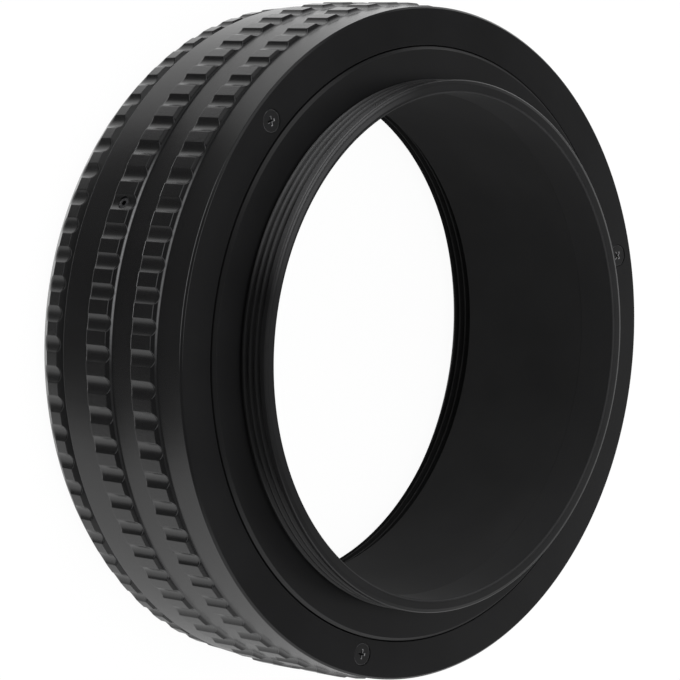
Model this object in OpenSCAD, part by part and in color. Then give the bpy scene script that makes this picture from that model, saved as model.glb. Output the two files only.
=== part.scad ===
// Two-stage focusing helicoid ring for camera lenses.
// The optical axis is Z. The origin is the centre of the rear face, which the ring rests on,
// and the front spigot points up. The model is drawn at the short end of its travel.
// Turning the grip sleeve lifts the core out of the base sleeve on a right-hand thread and the
// barrel out of the core on a left-hand thread, while the guide keeps the barrel from turning.

/* [Mount threads] */
// Major diameter of the mount threads at both ends
mount_thread_d = 65; // [60:0.5:72]
// Pitch of the mount threads
mount_thread_pitch = 1; // [0.75:0.25:1.25]
// Wall of the front spigot, from its bore to the crest of its thread
spigot_wall = 1.3; // [1.2:0.05:1.6]
// Height of the front spigot above the front face
spigot_h = 4.85; // [4:0.05:7]
// Height of the relief groove at the foot of the spigot
relief_h = 0.5; // [0.3:0.1:1]
// Depth of the relief groove in the flange's face
relief_depth = 0.2; // [0.1:0.05:0.3]
// Reach of the relief groove past the crest of the thread
relief_reach = 0.25; // [0.1:0.05:0.4]
// Bevel on both edges of the spigot's tip
spigot_bevel = 0.25; // [0.1:0.05:0.3]
// Depth of the rear thread
rear_thread_depth = 4.7; // [4:0.1:6]
// Wall of the boss around the rear thread
rear_boss_wall = 1.2; // [1:0.1:1.4]

/* [Helicoid] */
// Travel of each of the two stages
stage_travel = 15; // [12:0.5:20]
// Length of long thread still engaged at full travel
thread_engagement = 2.95; // [2:0.05:5]
// Radial clearance of the long threads
thread_clear = 0.08; // [0.04:0.01:0.1]
// Wall of the inner barrel
barrel_wall = 2.65; // [2.6:0.05:3.4]
// Thickness of the front mount ring above the barrel's neck
neck_cover = 0.4; // [0.3:0.05:0.6]
// Wall of the barrel's neck
neck_wall = 0.8; // [0.6:0.05:1]
// Wall of the turning core
core_wall = 2.4; // [2.1:0.02:3.4]
// Wall of the base sleeve
base_sleeve_wall = 2.3; // [2.2:0.02:3.4]
// Gap between pieces that stop one on the other along the axis
stop_gap = 0.3; // [0.2:0.05:0.6]

/* [Linear guide] */
// Thickness of the guide ring's plate
guide_t = 1.1; // [0.9:0.1:1.6]
// Axial play between the guide ring and the core
guide_play = 0.05; // [0.03:0.01:0.15]
// Gap between the guide ring and the rear boss
guide_bore_gap = 0.2; // [0.15:0.05:0.3]
// Thickness of the guide ring's collar
collar_t = 1; // [0.9:0.05:1.1]
// Gap between the collar and the barrel
collar_gap = 0.2; // [0.15:0.05:0.3]
// Height of the joint between a guide bar and the collar
bar_joint_h = 0.8; // [0.6:0.1:1.4]
// Width of a guide bar
bar_w = 5; // [3.5:0.1:6]
// Depth of the barrel's slots
bar_slot_depth = 1.4; // [1.2:0.05:1.6]
// Length of guide bar still in its slot at full travel
bar_engagement = 1.5; // [1:0.1:1.7]
// Width of a guide key
key_w = 6; // [4:0.1:8]
// Depth of a guide key in the base sleeve
key_depth = 1.1; // [0.8:0.05:1.3]
// Length of a guide key inside the guide ring
key_root = 1.1; // [0.8:0.05:1.3]
// Side clearance of bars and keys in their slots
slot_side_clear = 0.05; // [0.03:0.01:0.1]
// Clearance of bars and keys from the floor of their slots
slot_floor_clear = 0.1; // [0.05:0.01:0.2]
// Thickness of the snap ring
snap_t = 0.4; // [0.3:0.05:0.6]
// Depth of the snap ring in the collar
snap_in_depth = 0.45; // [0.3:0.05:0.5]
// Depth of the snap ring in the core
snap_out_depth = 0.4; // [0.25:0.05:0.5]
// Clearance of the snap ring in its grooves
snap_clear = 0.05; // [0.03:0.01:0.08]
// Opening of the snap ring
snap_opening = 4; // [2:0.5:8]

/* [Grip sleeve] */
// Gap between the base sleeve and the grip sleeve
skirt_gap = 0.4; // [0.3:0.05:0.8]
// Wall of the grip sleeve
skirt_wall = 2.65; // [2.5:0.05:4]
// Thickness of the grip sleeve's front plate
front_plate_t = 1.8; // [1.6:0.1:3]
// Thickness of the core's flange
core_flange_t = 1.8; // [1.4:0.1:3]
// Reach of the core's flange into the grip sleeve's wall
core_flange_reach = 1.5; // [1.3:0.05:1.7]
// Gap between the grip sleeve and the rear grip ring
seam_gap = 0.6; // [0.3:0.05:0.8]
// Bevel on the front edge
edge_bevel = 0.33; // [0.15:0.01:0.6]
// Bevel on the rear edge of the grip sleeve
skirt_bevel = 0.15; // [0.05:0.05:0.3]
// Bevel on the lip of its front opening
lip_bevel = 0.5; // [0.1:0.05:0.6]

/* [Grip bands] */
// Length of the plain band at the front
front_flat = 4.2; // [2.5:0.1:5]
// Length of a raised grip band at its foot
band_w = 4.3; // [3.5:0.05:5.5]
// Length of the plain band between the grip bands
middle_flat = 3.4; // [2:0.05:5]
// Height of the grip bands, whose flanks slope at 45 degrees
band_h = 0.5; // [0.45:0.05:0.8]
// Scoops around a grip band
scoop_count = 72; // [48:1:76]
// Width of a scoop at the top of the band
scoop_w = 2.05; // [1.4:0.05:2.3]
// Depth of a scoop
scoop_depth = 0.4; // [0.25:0.05:0.45]
// Angle of the first scoop on the grip sleeve, in degrees
scoop_angle = -2.27; // [-5:0.01:5]
// Angle of the first scoop on the rear grip ring, in degrees
rear_scoop_angle = -3; // [-5:0.01:5]

/* [Front mount ring] */
// Thickness of the front mount ring's flange
mount_flange_t = 1.5; // [1.3:0.1:2.5]
// Overhang of the flange past the core
mount_flange_over = 0.1; // [0:0.05:0.5]
// Gap between the flange and the grip sleeve's front plate
front_gap = 0.3; // [0.3:0.05:0.8]
// Bevel on the front edge of the flange
mount_flange_bevel = 0.35; // [0.1:0.05:0.5]

/* [Rear end] */
// Thickness of the rear plate
rear_plate_t = 1.6; // [1.4:0.1:2.4]
// Reach of the rear plate past the base sleeve
rear_plate_reach = 1.4; // [1:0.1:1.6]
// Bevel of the rear opening
rear_opening_bevel = 1.6; // [0.5:0.05:1.8]
// Height of the rear grip ring
rear_ring_h = 4; // [3.6:0.1:6]
// Step from the grip sleeve in to the rear grip ring's largest radius
rear_ring_step = 0.15; // [0.05:0.05:0.3]
// Height of its front flank, which slopes at 45 degrees
rear_flank_h = 0.7; // [0.4:0.05:0.9]
// Taper of its outer face, from the flank to the rear edge
rear_taper = 0.1; // [0.05:0.05:0.35]
// Height of the bevel on its rear edge
rear_bevel_h = 1.5; // [0.8:0.1:1.8]
// Depth of that bevel across the rear face
rear_bevel_w = 0.95; // [0.4:0.05:1]

/* [Fasteners] */
// Screws in the front plate
front_screw_count = 3; // [3:1:6]
// Angle of the first front screw, in degrees
front_screw_angle = 77.5; // [0:0.5:119]
// Diameter of the front screws' heads
front_screw_head_d = 2.8; // [2.2:0.1:3.2]
// Diameter of the front screws
front_screw_d = 1.6; // [1.2:0.1:2]
// Distance of the front screws inside the grip sleeve's bore
front_screw_inset = 0.1; // [0:0.05:0.3]
// Screws in the rear plate
rear_screw_count = 6; // [3:3:6]
// Diameter of the rear screws' heads
rear_screw_head_d = 2.4; // [2:0.1:2.8]
// Diameter of the rear screws
rear_screw_d = 1.4; // [1:0.1:1.5]
// Length of the rear screws in the base sleeve
rear_screw_grip = 3; // [2:0.1:5]
// Diameter of the guide bars' screws
bar_screw_d = 1; // [0.8:0.1:1]
// Diameter of the heads of the guide bars' screws
bar_screw_head_d = 1.8; // [1.4:0.1:2]
// Diameter of the brake screw
brake_screw_d = 1.6; // [1:0.1:2]
// Scoops from the first one back to the one that holds the brake screw
brake_scoop_count = 4; // [0:1:40]
// Length of the brake pad under the brake screw
brake_pad_len = 1; // [0.6:0.1:1.4]
// Gap between the brake pad and the base sleeve
brake_gap = 0.2; // [0.1:0.05:0.3]
// Depth of the brake screw's end below the floor of its scoop
brake_sink = 0.25; // [0.1:0.05:0.5]

/* [Hidden] */

// Fineness of the large rings and of the small round shapes
$fn = 180;
small_fn = 32;
// Room that a cut runs past the faces it opens
over = 1;
// Depth of a thread as a share of its pitch, and of the front screws in the core's flange
thread_depth_ratio = 0.5413;
front_screw_reach_ratio = 0.7;
// Guide bars and keys stand in threes, half a step apart
guide_count = 3;
bar_angle = 30;
key_angle = 90;
snap_angle = 150;

// Radii, from the light path outwards
mount_thread_r = mount_thread_d / 2;
thread_root_r = mount_thread_r - thread_depth_ratio * mount_thread_pitch;
bore_r = mount_thread_r - spigot_wall;
neck_r = bore_r + neck_wall;
barrel_r = bore_r + barrel_wall;
bar_slot_r = barrel_r - bar_slot_depth;
bar_in_r = bar_slot_r + slot_floor_clear;
bar_out_r = barrel_r - slot_floor_clear;
boss_r = thread_root_r + rear_boss_wall;
guide_in_r = boss_r + guide_bore_gap;
core_in_r = barrel_r + thread_clear;
collar_in_r = barrel_r + collar_gap;
collar_r = collar_in_r + collar_t;
collar_bore_r = collar_r + thread_clear;
core_r = core_in_r + core_wall;
guide_r = core_r - slot_floor_clear;
key_in_r = guide_r - key_root;
sleeve_in_r = core_r + thread_clear;
key_out_r = sleeve_in_r + key_depth;
key_slot_r = key_out_r + slot_floor_clear;
sleeve_r = sleeve_in_r + base_sleeve_wall;
skirt_in_r = sleeve_r + skirt_gap;
core_flange_r = skirt_in_r + core_flange_reach;
grip_r = skirt_in_r + skirt_wall;
band_r = grip_r + band_h;
mount_flange_r = core_r + mount_flange_over;
front_hole_r = mount_flange_r + front_gap;
rear_plate_r = sleeve_r + rear_plate_reach;
rear_ring_r = grip_r - rear_ring_step;
rear_edge_r = rear_ring_r - rear_taper;
snap_floor_r = collar_r - snap_in_depth;
snap_bore_r = collar_bore_r + snap_out_depth;

// Heights, from the rear face upwards
guide_z = rear_plate_t + stop_gap;
guide_top_z = guide_z + guide_t;
core_z = guide_top_z + guide_play;
barrel_z = rear_thread_depth + stop_gap;
bar_z = rear_thread_depth + guide_bore_gap;
collar_top_z = bar_z + bar_joint_h;
collar_bore_top_z = collar_top_z + slot_floor_clear;
snap_groove_h = snap_t + 2 * snap_clear;
snap_groove_z = (guide_top_z + bar_z - snap_groove_h) / 2;
sleeve_top_z = core_z + stage_travel + thread_engagement;
key_slot_top_z = guide_top_z + stage_travel + stop_gap;
core_flange_z = sleeve_top_z + stop_gap + slot_floor_clear;
core_top_z = core_flange_z + core_flange_t;
front_z = core_top_z + front_plate_t;
mount_flange_z = front_z - mount_flange_t;
relief_z = front_z - relief_depth;
neck_top_z = relief_z - neck_cover;
bar_top_z = barrel_z + stage_travel + bar_engagement;
bar_slot_top_z = bar_top_z + stop_gap;
spigot_top_z = front_z + spigot_h;
skirt_z = rear_ring_h + seam_gap;
front_band_z = front_z - front_flat - band_w;
back_band_z = front_band_z - middle_flat - band_w;

// Scoops and fasteners
scoop_r = (scoop_w * scoop_w / 4 + scoop_depth * scoop_depth) / (2 * scoop_depth);
scoop_axis_gap = scoop_r - scoop_depth;
scoop_step = 360 / scoop_count;
front_screw_circle_r = skirt_in_r - front_screw_inset;
front_screw_len = front_plate_t + front_screw_reach_ratio * core_flange_t;
rear_screw_circle_r = (sleeve_in_r + sleeve_r) / 2;
rear_screw_len = rear_plate_t + rear_screw_grip;
bar_screw_circle_r = (guide_in_r + snap_floor_r) / 2;
bar_screw_len = collar_top_z - guide_z - bar_joint_h / 2;
brake_z = back_band_z + band_w / 2;
brake_angle = scoop_angle - brake_scoop_count * scoop_step;
brake_pad_r = sleeve_r + brake_gap;
brake_screw_r = brake_pad_r + brake_pad_len;
brake_screw_end_r = band_r - scoop_depth - brake_sink;

// A square-sectioned ring around the axis
module ring(r_in, r_out, z0, z1) {
    rotate_extrude()
        translate([r_in, z0])
            square([r_out - r_in, z1 - z0]);
}

// A piece of such a ring with straight sides, on the X axis
module ring_block(r_in, r_out, z0, z1, width) {
    intersection() {
        ring(r_in, r_out, z0, z1);
        translate([0, -width / 2, z0 - over])
            cube([r_out + over, width, z1 - z0 + 2 * over]);
    }
}

// Copies of a piece around the axis
module around(count, angle) {
    for (k = [0 : count - 1])
        rotate([0, 0, angle + k * 360 / count])
            children();
}

// One of the pieces that stand in threes
module guide_place(k, angle) {
    rotate([0, 0, angle + (k - 1) * 360 / guide_count])
        children();
}

// A countersunk screw with its head's face at the origin and its point along +Z
module countersunk_screw(head_d, shank_d, len) {
    cylinder(d1 = head_d, d2 = shank_d, h = (head_d - shank_d) / 2, $fn = small_fn);
    cylinder(d = shank_d, h = len, $fn = small_fn);
}

// A round bar along X, from one radius to another
module spoke(d, r_in, r_out) {
    translate([r_in, 0, 0])
        rotate([0, 90, 0])
            cylinder(d = d, h = r_out - r_in, $fn = small_fn);
}

// The cutters of the scoops in a ring of the given radius, which run along the axis
module scoops(ring_r, angle, z0, z1) {
    around(scoop_count, angle)
        translate([ring_r + scoop_axis_gap, 0, z0])
            cylinder(r = scoop_r, h = z1 - z0, $fn = small_fn);
}

// Outline of a grip band, from its rear foot to its front foot
function band_outline(z) = [
    [grip_r, z],
    [band_r, z + band_h],
    [band_r, z + band_w - band_h],
    [grip_r, z + band_w]
];

module place_front_screws() {
    around(front_screw_count, front_screw_angle)
        translate([front_screw_circle_r, 0, front_z])
            mirror([0, 0, 1])
                countersunk_screw(front_screw_head_d, front_screw_d, front_screw_len);
}

module place_rear_screws() {
    around(rear_screw_count, 0)
        translate([rear_screw_circle_r, 0, 0])
            countersunk_screw(rear_screw_head_d, rear_screw_d, rear_screw_len);
}

module place_bar_screws() {
    around(guide_count, bar_angle)
        translate([bar_screw_circle_r, 0, guide_z])
            countersunk_screw(bar_screw_head_d, bar_screw_d, bar_screw_len);
}

module snap_groove() {
    ring(snap_floor_r, snap_bore_r, snap_groove_z, snap_groove_z + snap_groove_h);
}

// Rear plate with the threaded boss that the camera side screws into
module rear_mount_ring() {
    color("#1b1b1d")
        difference() {
            rotate_extrude()
                polygon([
                    [thread_root_r + rear_opening_bevel, 0],
                    [rear_plate_r, 0],
                    [rear_plate_r, rear_plate_t],
                    [boss_r, rear_plate_t],
                    [boss_r, rear_thread_depth],
                    [thread_root_r, rear_thread_depth],
                    [thread_root_r, rear_opening_bevel]
                ]);
            place_rear_screws();
        }
}

module rear_mount_screws() {
    color("#3a3a3c")
        place_rear_screws();
}

// Fixed sleeve with the long right-hand thread inside and the slots of the guide keys
module base_sleeve() {
    color("#202022")
        difference() {
            ring(sleeve_in_r, sleeve_r, rear_plate_t, sleeve_top_z);
            around(guide_count, key_angle)
                ring_block(
                    sleeve_in_r - over, key_slot_r, rear_plate_t - over, key_slot_top_z,
                    key_w + 2 * slot_side_clear
                );
            place_rear_screws();
        }
}

// Scalloped ring at the rear, for holding the base while the grip sleeve is turned
module rear_grip_ring() {
    color("#1b1b1d")
        difference() {
            rotate_extrude()
                polygon([
                    [rear_plate_r, 0],
                    [rear_edge_r - rear_bevel_w, 0],
                    [rear_edge_r, rear_bevel_h],
                    [rear_ring_r, rear_ring_h - rear_flank_h],
                    [rear_ring_r - rear_flank_h, rear_ring_h],
                    [sleeve_r, rear_ring_h],
                    [sleeve_r, rear_plate_t],
                    [rear_plate_r, rear_plate_t]
                ]);
            scoops(rear_ring_r, rear_scoop_angle, -over, rear_ring_h + over);
        }
}

// Ring that slides with the core but cannot turn
module guide_ring() {
    color("#8c8c88")
        difference() {
            union() {
                ring(guide_in_r, guide_r, guide_z, guide_top_z);
                ring(collar_in_r, collar_r, guide_top_z, collar_top_z);
            }
            around(guide_count, bar_angle)
                ring_block(guide_in_r - over, collar_r + over, guide_top_z, collar_top_z + over, bar_w);
            around(guide_count, key_angle)
                ring_block(key_in_r, guide_r + over, guide_z - over, guide_top_z + over, key_w);
            snap_groove();
            place_bar_screws();
        }
}

// Key that slides in a slot of the base sleeve
module guide_key(k) {
    color("#b0a070")
        guide_place(k, key_angle)
            ring_block(key_in_r, key_out_r, guide_z, guide_top_z, key_w);
}

// Straight bar that slides in a slot of the barrel, with its foot in a gap of the guide ring's collar
module guide_bar(k) {
    color("#a8a8a4")
        difference() {
            guide_place(k, bar_angle) {
                ring_block(guide_in_r, collar_r, guide_top_z, collar_top_z, bar_w);
                ring_block(bar_in_r, collar_in_r, bar_z, collar_top_z, bar_w);
                ring_block(bar_in_r, bar_out_r, bar_z, bar_top_z, bar_w);
            }
            snap_groove();
            place_bar_screws();
        }
}

module guide_bar_screws() {
    color("#6e6e70")
        place_bar_screws();
}

// Open ring that holds the guide ring in the core, free to turn
module guide_snap_ring() {
    color("#9a9a98")
        difference() {
            ring(
                snap_floor_r + snap_clear, snap_bore_r - snap_clear,
                snap_groove_z + snap_clear, snap_groove_z + snap_clear + snap_t
            );
            rotate([0, 0, snap_angle])
                translate([0, -snap_opening / 2, 0])
                    cube([core_r, snap_opening, collar_top_z]);
        }
}

// Turning core, with a long thread on each side and the flange that carries the grip sleeve
module focus_core() {
    color("#262628")
        difference() {
            rotate_extrude()
                polygon([
                    [collar_bore_r, core_z],
                    [core_r, core_z],
                    [core_r, core_flange_z],
                    [core_flange_r, core_flange_z],
                    [core_flange_r, core_top_z],
                    [core_in_r, core_top_z],
                    [core_in_r, collar_bore_top_z],
                    [collar_bore_r, collar_bore_top_z]
                ]);
            snap_groove();
            place_front_screws();
        }
}

// Outer sleeve with two scalloped grip bands
module grip_sleeve() {
    color("#1b1b1d")
        difference() {
            rotate_extrude()
                polygon(concat(
                    [
                        [skirt_in_r, skirt_z],
                        [grip_r - skirt_bevel, skirt_z],
                        [grip_r, skirt_z + skirt_bevel]
                    ],
                    band_outline(back_band_z),
                    band_outline(front_band_z),
                    [
                        [grip_r, front_z - edge_bevel],
                        [grip_r - edge_bevel, front_z],
                        [front_hole_r + lip_bevel, front_z],
                        [front_hole_r, front_z - lip_bevel],
                        [front_hole_r, core_top_z],
                        [core_flange_r, core_top_z],
                        [core_flange_r, core_flange_z],
                        [skirt_in_r, core_flange_z]
                    ]
                ));
            scoops(band_r, scoop_angle, back_band_z - over, front_band_z + band_w + over);
            place_front_screws();
            rotate([0, 0, brake_angle])
                translate([0, 0, brake_z])
                    spoke(brake_screw_d, skirt_in_r - over, band_r + over);
        }
}

module front_screws() {
    color("#2a2a2c")
        place_front_screws();
}

// Set screw that presses the pad on the base sleeve to hold the focus
module brake_screw() {
    color("#4a4a4c")
        rotate([0, 0, brake_angle])
            translate([0, 0, brake_z])
                spoke(brake_screw_d, brake_screw_r, brake_screw_end_r);
}

module brake_pad() {
    color("#e6e2d4")
        rotate([0, 0, brake_angle])
            translate([0, 0, brake_z])
                spoke(brake_screw_d, brake_pad_r, brake_screw_r);
}

// Barrel around the light path, with the slots of the guide bars
module inner_barrel() {
    color("#19191b")
        difference() {
            rotate_extrude()
                polygon([
                    [bore_r, barrel_z],
                    [barrel_r, barrel_z],
                    [barrel_r, mount_flange_z],
                    [neck_r, mount_flange_z],
                    [neck_r, neck_top_z],
                    [bore_r, neck_top_z]
                ]);
            around(guide_count, bar_angle)
                ring_block(
                    bar_slot_r, barrel_r + over, barrel_z - over, bar_slot_top_z,
                    bar_w + 2 * slot_side_clear
                );
        }
}

// Front flange with the male mount thread on its spigot
module front_mount_ring() {
    color("#1b1b1d")
        rotate_extrude()
            polygon([
                [neck_r, mount_flange_z],
                [mount_flange_r, mount_flange_z],
                [mount_flange_r, front_z - mount_flange_bevel],
                [mount_flange_r - mount_flange_bevel, front_z],
                [mount_thread_r + relief_reach, front_z],
                [mount_thread_r + relief_reach, relief_z],
                [thread_root_r, relief_z],
                [thread_root_r, front_z + relief_h],
                [mount_thread_r, front_z + relief_h],
                [mount_thread_r, spigot_top_z - spigot_bevel],
                [mount_thread_r - spigot_bevel, spigot_top_z],
                [bore_r + spigot_bevel, spigot_top_z],
                [bore_r, spigot_top_z - spigot_bevel],
                [bore_r, neck_top_z],
                [neck_r, neck_top_z]
            ]);
}

rear_mount_ring();
rear_mount_screws();
base_sleeve();
rear_grip_ring();
guide_ring();
guide_key(1);  // guide_key_1
guide_key(2);  // guide_key_2
guide_key(3);  // guide_key_3
guide_bar(1);  // guide_bar_1
guide_bar(2);  // guide_bar_2
guide_bar(3);  // guide_bar_3
guide_bar_screws();
guide_snap_ring();
focus_core();
grip_sleeve();
front_screws();
brake_screw();
brake_pad();
inner_barrel();
front_mount_ring();
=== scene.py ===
# %% [markdown]
# # A two-stage focusing ring for camera lenses, dressed for its photograph
# The solids come from the CAD frame and stay as they are. Each cell below dresses one piece:
# it gives a turned ring its fine edges, cuts its scoops or threads, and lays a black anodised
# finish on it. Lengths are written in millimetres and turned into metres when a mesh is made.
# Only the floor, the lamps and the camera's range are written in metres.

# %% Load the frame
import math

import bpy
import numpy as np
from mathutils import Matrix, Vector


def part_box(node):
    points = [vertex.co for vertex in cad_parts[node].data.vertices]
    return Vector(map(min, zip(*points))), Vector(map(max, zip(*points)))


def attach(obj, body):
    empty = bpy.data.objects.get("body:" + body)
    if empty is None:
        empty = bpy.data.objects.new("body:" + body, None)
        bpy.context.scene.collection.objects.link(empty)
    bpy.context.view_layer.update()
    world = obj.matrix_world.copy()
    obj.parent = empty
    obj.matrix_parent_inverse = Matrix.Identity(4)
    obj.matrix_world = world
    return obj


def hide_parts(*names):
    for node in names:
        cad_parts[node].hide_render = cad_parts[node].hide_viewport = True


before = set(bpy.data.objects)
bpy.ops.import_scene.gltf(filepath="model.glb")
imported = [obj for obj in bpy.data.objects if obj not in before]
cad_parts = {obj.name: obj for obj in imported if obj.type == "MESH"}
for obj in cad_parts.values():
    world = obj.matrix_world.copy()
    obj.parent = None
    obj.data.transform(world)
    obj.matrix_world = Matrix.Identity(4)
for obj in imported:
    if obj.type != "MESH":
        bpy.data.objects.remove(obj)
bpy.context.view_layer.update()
MM = 0.001


# %% [markdown]
# ## The camera
# The ring stands on its edge in the photograph, with its front turned about 46 degrees to the
# left. In the CAD frame the ring lies on its rear face, so the camera is rolled instead of the
# ring. The three directions of the ring, as the camera sees them, give that roll directly: the
# optical axis from a yaw and a pitch, then the two directions across it.

# %% Place the camera
YAW, PITCH = math.radians(46.560), math.radians(3.926)
FRONT_FACE = 25.0
FRONT_CENTRE = Vector((10.465, 0.575, 421.53))
FOCAL_PX, IMAGE_PX, SENSOR = 3400.0, 680, 36.0
NEAREST, FARTHEST = 0.01, 20


def placed(name, data):
    made = bpy.data.objects.new(name, data)
    bpy.context.scene.collection.objects.link(made)
    return made


along = Vector((math.sin(YAW) * math.cos(PITCH), math.sin(PITCH), -math.cos(YAW) * math.cos(PITCH)))
leftward = Vector((0, 1, 0)).cross(along).normalized()
downward = along.cross(leftward)
right, down, forward = (Vector((leftward[i], downward[i], along[i])) for i in range(3))
turn = Matrix((right, -down, -forward)).transposed()
place = Vector((
    -FRONT_CENTRE.dot(leftward), -FRONT_CENTRE.dot(downward), FRONT_FACE - FRONT_CENTRE.dot(along)
))
camera_data = bpy.data.cameras.new("photo_camera")
camera_data.sensor_width = SENSOR
camera_data.lens = FOCAL_PX / IMAGE_PX * SENSOR
camera_data.clip_start, camera_data.clip_end = NEAREST, FARTHEST
camera = placed("photo_camera", camera_data)
camera.matrix_world = Matrix.Translation(place * MM) @ turn.to_4x4()
bpy.context.scene.camera = camera
bpy.context.scene.view_settings.view_transform = "Standard"
print("camera lens", round(camera_data.lens, 1), "mm at", [round(v) for v in place], "mm")


# %% [markdown]
# ## Floor, backdrop and light
# The photograph is a plain cut-out on white: everything behind the ring is white, and the side
# that the camera stands on is dark. Black metal shows little but its surroundings, so the room
# matters more than the lamps. A few helpers come first, because the floor, the room and every
# finish are trees of nodes. They add a node, feed a socket with a number or another socket, do
# sums, and fade one value into another. The last one tells the rays that come straight from the
# camera from those that a surface reflects.

# %% Small helpers for node trees
def feed(tree, value, socket):
    if isinstance(value, (int, float)):
        socket.default_value = value
    else:
        tree.links.new(value, socket)


def add(tree, kind, **settings):
    made = tree.nodes.new(kind)
    for key, value in settings.items():
        setattr(made, key, value)
    return made


def result(tree, operation, *values):
    made = add(tree, "ShaderNodeMath", operation=operation)
    for value, socket in zip(values, made.inputs):
        feed(tree, value, socket)
    return made.outputs[0]


def times(tree, first, second):
    return result(tree, "MULTIPLY", first, second)


def ramp(tree, value, low, high, at_low=0.0, at_high=1.0):
    made = add(tree, "ShaderNodeMapRange", interpolation_type="SMOOTHSTEP")
    for title, number in (("From Min", low), ("From Max", high), ("To Min", at_low), ("To Max", at_high)):
        made.inputs[title].default_value = number
    feed(tree, value, made.inputs["Value"])
    return made.outputs[0]


def shown_rays(tree):
    path = add(tree, "ShaderNodeLightPath")
    straight = result(tree, "MAXIMUM", path.outputs["Is Camera Ray"], path.outputs["Is Transmission Ray"])
    return straight, path.outputs["Is Glossy Ray"]


# %% [markdown]
# ## What a reflected ray sees
# A reflected ray sees white where it goes away from the camera and dark where it comes back to
# it, on the floor as in the room around. The white is brighter above the horizon than below it,
# and dimmer towards the front of the ring, where the flat faces look. Two dim patches stand for
# the lamps. All this follows from the ray's direction alone: how far it points along a line
# fades one tone into the next.

# %% Room for reflections
ROOM_TILT, ROOM_FADE = 0.20, (0.13, 0.24)
ROOM_DARK, ROOM_WHITE = 0.06, 0.77
FAR_FADE = (0.35, 0.95)
HORIZON, ABOVE, BELOW = 0.15, 0.32, -0.25
FRONTWARD, FRONT_FADE, FRONT_SHARE = Vector((0, 0, 1)), (-0.15, 0.25), 0.57
LAMP_LINES = Vector((0.15, -0.83, 0.54)), Vector((0.05, 0.87, 0.49))
LAMP_FADE, LAMP_GLOSS = (0.86, 0.98), 0.62


def reflected_room(tree, direction, sign):
    def seen(line, *fade):
        made = add(tree, "ShaderNodeVectorMath", operation="DOT_PRODUCT")
        feed(tree, direction, made.inputs[0])
        made.inputs[1].default_value = sign * line
        return ramp(tree, made.outputs["Value"], *fade)

    away = seen(forward + ROOM_TILT * down, *ROOM_FADE)
    change = seen(down, -HORIZON, HORIZON, ABOVE, BELOW)
    white = result(tree, "MULTIPLY_ADD", seen(forward, *FAR_FADE), change, ROOM_WHITE)
    front = seen(FRONTWARD, *FRONT_FADE, 1.0, FRONT_SHARE)
    room = result(tree, "MULTIPLY_ADD", times(tree, away, front), white, ROOM_DARK)
    for line in LAMP_LINES:
        room = result(tree, "ADD", room, seen(line, *LAMP_FADE, 0.0, LAMP_GLOSS))
    return room


# %% [markdown]
# ## Floor and world
# The floor is paper that shows white to the camera, with a trace of the ring's shadow. Reflected
# rays see the room in it instead, so that the metal mirrors no horizon between floor and world.

# %% Floor
FLOOR_HALF, FLOOR_GAP = 3.0, 0.02
PAPER_GREY, FLOOR_WHITE, FLOOR_GLOW = 0.86, 0.92, 1.04
floor_paper = bpy.data.materials.new("floor_paper")
floor_paper.use_nodes = True
tree = floor_paper.node_tree
tree.nodes.clear()
paper = add(tree, "ShaderNodeBsdfDiffuse")
paper.inputs["Color"].default_value = (PAPER_GREY, PAPER_GREY, PAPER_GREY, 1)
straight, glossy = shown_rays(tree)
room = reflected_room(tree, add(tree, "ShaderNodeNewGeometry").outputs["Incoming"], -1)
glow = add(tree, "ShaderNodeEmission")
shown = times(tree, straight, FLOOR_GLOW)
feed(tree, result(tree, "MULTIPLY_ADD", glossy, room, shown), glow.inputs["Strength"])
mixed = add(tree, "ShaderNodeMixShader")
feed(tree, result(tree, "MULTIPLY_ADD", straight, FLOOR_WHITE, glossy), mixed.inputs[0])
feed(tree, paper.outputs[0], mixed.inputs[1])
feed(tree, glow.outputs[0], mixed.inputs[2])
feed(tree, mixed.outputs[0], add(tree, "ShaderNodeOutputMaterial").inputs[0])
sheet = bpy.data.meshes.new("floor")
corners = [(x * FLOOR_HALF, y * FLOOR_HALF, 0) for x, y in ((-1, -1), (1, -1), (1, 1), (-1, 1))]
sheet.from_pydata(corners, [], [(0, 1, 2, 3)])
sheet.materials.append(floor_paper)
floor = placed("floor", sheet)
floor.location.z = -FLOOR_GAP * MM
print("floor", 2 * FLOOR_HALF, "m wide")

# %% World
FILL = 0.5
world = bpy.data.worlds.new("studio")
bpy.context.scene.world = world
world.use_nodes = True
tree = world.node_tree
tree.nodes.clear()
straight, glossy = shown_rays(tree)
room = reflected_room(tree, add(tree, "ShaderNodeTexCoord").outputs["Generated"], 1)
rest = result(tree, "SUBTRACT", 1.0, result(tree, "MAXIMUM", straight, glossy))
strength = result(tree, "MULTIPLY_ADD", rest, FILL, result(tree, "MULTIPLY_ADD", glossy, room, straight))
sky = add(tree, "ShaderNodeBackground")
feed(tree, strength, sky.inputs["Strength"])
feed(tree, sky.outputs[0], add(tree, "ShaderNodeOutputWorld").inputs[0])
print("world fill", FILL)

# %% [markdown]
# ## Softboxes
# Three area lamps light the ring from above, from below and from its front, as the photograph
# has it. They are hidden from reflections, because their hard outlines would show in the metal:
# the dim patches of the room are what the metal mirrors.

# %% Softboxes
LAMP_AIM = Vector((0, 0, 0.015))
WIDE, SQUARE = (1.0, 0.8), (0.6, 0.6)


def softbox(name, spot, size, power):
    data = bpy.data.lights.new(name, "AREA")
    data.shape = "RECTANGLE"
    data.size, data.size_y = size
    data.energy = power
    lamp = placed(name, data)
    lamp.location = spot
    lamp.rotation_euler = (LAMP_AIM - Vector(spot)).to_track_quat("-Z", "Y").to_euler()
    lamp.visible_camera = lamp.visible_glossy = False


softbox("top_softbox", (-0.1, -0.9, 0.5), WIDE, power=4)
softbox("lower_softbox", (-0.1, 0.9, 0.4), WIDE, power=3)
softbox("front_softbox", (0.1, 0, 1.2), SQUARE, power=4)


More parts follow.
